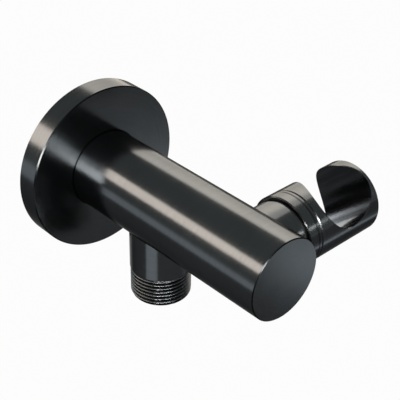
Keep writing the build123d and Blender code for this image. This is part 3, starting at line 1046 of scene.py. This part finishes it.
class ELBOW_OT_holder(bpy.types.Operator):
    """Finishes the neck, the collar and the cradle"""

    bl_idname = "elbow.holder"
    bl_label = "Handset holder"

    def execute(self, context):
        """Brushes them round the holder's axis, and the bore along its own."""
        middle, holder_bevel, neck_bevel = (0.0, HOLDER_Y, 0.0), 0.35, 0.3
        # The bevels get painted shade at the default share of 0.55, and the cradle's bore gets
        # streaks of painted shade.
        ends = [(place, HOLDER_RADIUS, holder_bevel) for place in COLLAR_ENDS + CRADLE_ENDS]
        ends.append((NECK_FRONT, NECK_RADIUS, neck_bevel))
        turned = make_gunmetal("gunmetal_holder", middle, "X", ends)
        dress(turned, "neck", "holder_collar")
        cradle = make_gunmetal("gunmetal_cradle", middle, "X", ends, bore=True)
        dress(cradle, "holder_cradle")
        return {"FINISHED"}


class ELBOW_OT_outlet(bpy.types.Operator):
    """Makes the outlet stub with its hose thread"""

    bl_idname = "elbow.outlet"
    bl_label = "Outlet stub"

    def execute(self, context):
        """Replaces the plain outlet."""
        points, faces = outlet_surface(context.scene.elbow_threads)
        piece = make_piece("threaded_outlet", points, faces, sharp=38.0)
        # Painted shade in the outlet thread's roots grows from a radius of 10.3 mm to 9.8 mm.
        middle, dark_from, dark_at = (0.0, OUTLET_Y, 0.0), 10.3, 9.8
        roots = (0.1 - THREAD_TOP, dark_from, dark_at)
        material = make_gunmetal("gunmetal_outlet", middle, "Z", roots=roots)
        settle(piece, material, "gunmetal", "mount", "outlet_stub")
        return {"FINISHED"}


class ELBOW_OT_nipple(bpy.types.Operator):
    """Makes the wall nipple with its thread and key socket"""

    bl_idname = "elbow.nipple"
    bl_label = "Wall nipple"

    def execute(self, context):
        """Replaces the plain nipple."""
        points, faces = nipple_surface(context.scene.elbow_threads)
        piece = make_piece("threaded_nipple", points, faces, sharp=38.0)
        settle(piece, make_brass(), "brass", "mount", "wall_nipple")
        return {"FINISHED"}


class ELBOW_OT_seals(bpy.types.Operator):
    """Makes the round seals and finishes the flat ones"""

    bl_idname = "elbow.seals"
    bl_label = "Seals"

    def execute(self, context):
        """Replaces the four O-rings."""
        rubber = make_rubber()
        rings = (
            ("escutcheon_o_ring", (0.0, -4.75, 0.0), "Y", 14.95, 0.9),
            ("rear_o_ring", (0.0, REAR_SEAL_Y, 0.0), "Y", 8.25, 0.75),
            ("front_o_ring", (0.0, FRONT_SEAL_Y, 0.0), "Y", 8.25, 0.75),
            ("valve_o_ring", (0.0, OUTLET_Y, -16.55), "Z", 6.95, 0.5),
        )
        for node, centre, axis, radius, section in rings:
            points, faces = ring_surface(centre, axis, radius, section)
            settle(make_piece("round_" + node, points, faces), rubber, "rubber", "mount", node)
        dress(rubber, "wall_seal", "poppet_seal")
        return {"FINISHED"}


class ELBOW_OT_valve(bpy.types.Operator):
    """Makes the valve's spring and finishes the valve"""

    bl_idname = "elbow.valve"
    bl_label = "Check valve"

    def execute(self, context):
        """Replaces the spring, which is pressed together as the poppet opens."""
        colour = context.scene.elbow_finish.valve_plastic
        plastic = make_moulded("white_acetal", colour, 0.000002)
        dress(plastic, "valve_housing", "valve_cage", "valve_poppet")
        points, faces, caps = spring_surface(wire=0.3, mean=3.4, turns=4.0)
        piece = make_piece("coiled_spring", points, faces, caps, sharp=60.0)
        steel = make_steel("spring_steel", (0.0, OUTLET_Y, 0.0), "Z")
        settle(piece, steel, "steel", "mount", "valve_spring")
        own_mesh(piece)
        return {"FINISHED"}


class ELBOW_OT_fastenings(bpy.types.Operator):
    """Finishes the screws, the washers and the disc spring"""

    bl_idname = "elbow.fastenings"
    bl_label = "Screws and washers"

    def execute(self, context):
        """Gives the hidden hardware its finishes."""
        steel = make_steel("pivot_steel", (0.0, HOLDER_Y, 0.0), "X")
        dress(steel, "pivot_screw", "disc_spring")
        dress(make_steel("grub_steel", (0.0, GRUB_Y, 0.0), "Z"), "grub_screw")
        colour = context.scene.elbow_finish.washer_plastic
        washers = make_moulded("filled_acetal", colour, 0.000003)
        dress(washers, "rear_friction_washer", "front_friction_washer")
        return {"FINISHED"}


class ELBOW_PT_panel(bpy.types.Panel):
    """Lists the pieces and their settings"""

    bl_idname = "ELBOW_PT_panel"
    bl_label = "Outlet elbow"
    bl_space_type = "VIEW_3D"
    bl_region_type = "UI"
    bl_category = "Outlet elbow"

    def draw(self, context):
        """Draws the buttons, and under them the settings."""
        for operator in OPERATORS:
            self.layout.operator(operator.bl_idname)
        scene = context.scene
        for group in (scene.elbow_threads, scene.elbow_finish, scene.elbow_stage):
            column = self.layout.column()
            for name in group.__annotations__:
                column.prop(group, name)


OPERATORS = (
    ELBOW_OT_stage,
    ELBOW_OT_arm,
    ELBOW_OT_holder,
    ELBOW_OT_outlet,
    ELBOW_OT_nipple,
    ELBOW_OT_seals,
    ELBOW_OT_valve,
    ELBOW_OT_fastenings,
)
CLASSES = (ThreadSizes, FinishColours, StageSettings) + OPERATORS + (ELBOW_PT_panel,)


def register():
    """Adds the classes and their settings to Blender."""
    for made in CLASSES:
        bpy.utils.register_class(made)
    bpy.types.Scene.elbow_threads = bpy.props.PointerProperty(type=ThreadSizes)
    bpy.types.Scene.elbow_finish = bpy.props.PointerProperty(type=FinishColours)
    bpy.types.Scene.elbow_stage = bpy.props.PointerProperty(type=StageSettings)


def unregister():
    """Takes the classes and their settings out again."""
    del bpy.types.Scene.elbow_stage
    del bpy.types.Scene.elbow_finish
    del bpy.types.Scene.elbow_threads
    for made in reversed(CLASSES):
        bpy.utils.unregister_class(made)


def main():
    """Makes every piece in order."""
    register()
    bpy.ops.elbow.stage()
    bpy.ops.elbow.arm()
    bpy.ops.elbow.holder()
    bpy.ops.elbow.outlet()
    bpy.ops.elbow.nipple()
    bpy.ops.elbow.seals()
    bpy.ops.elbow.valve()
    bpy.ops.elbow.fastenings()


if __name__ == "__main__":
    main()
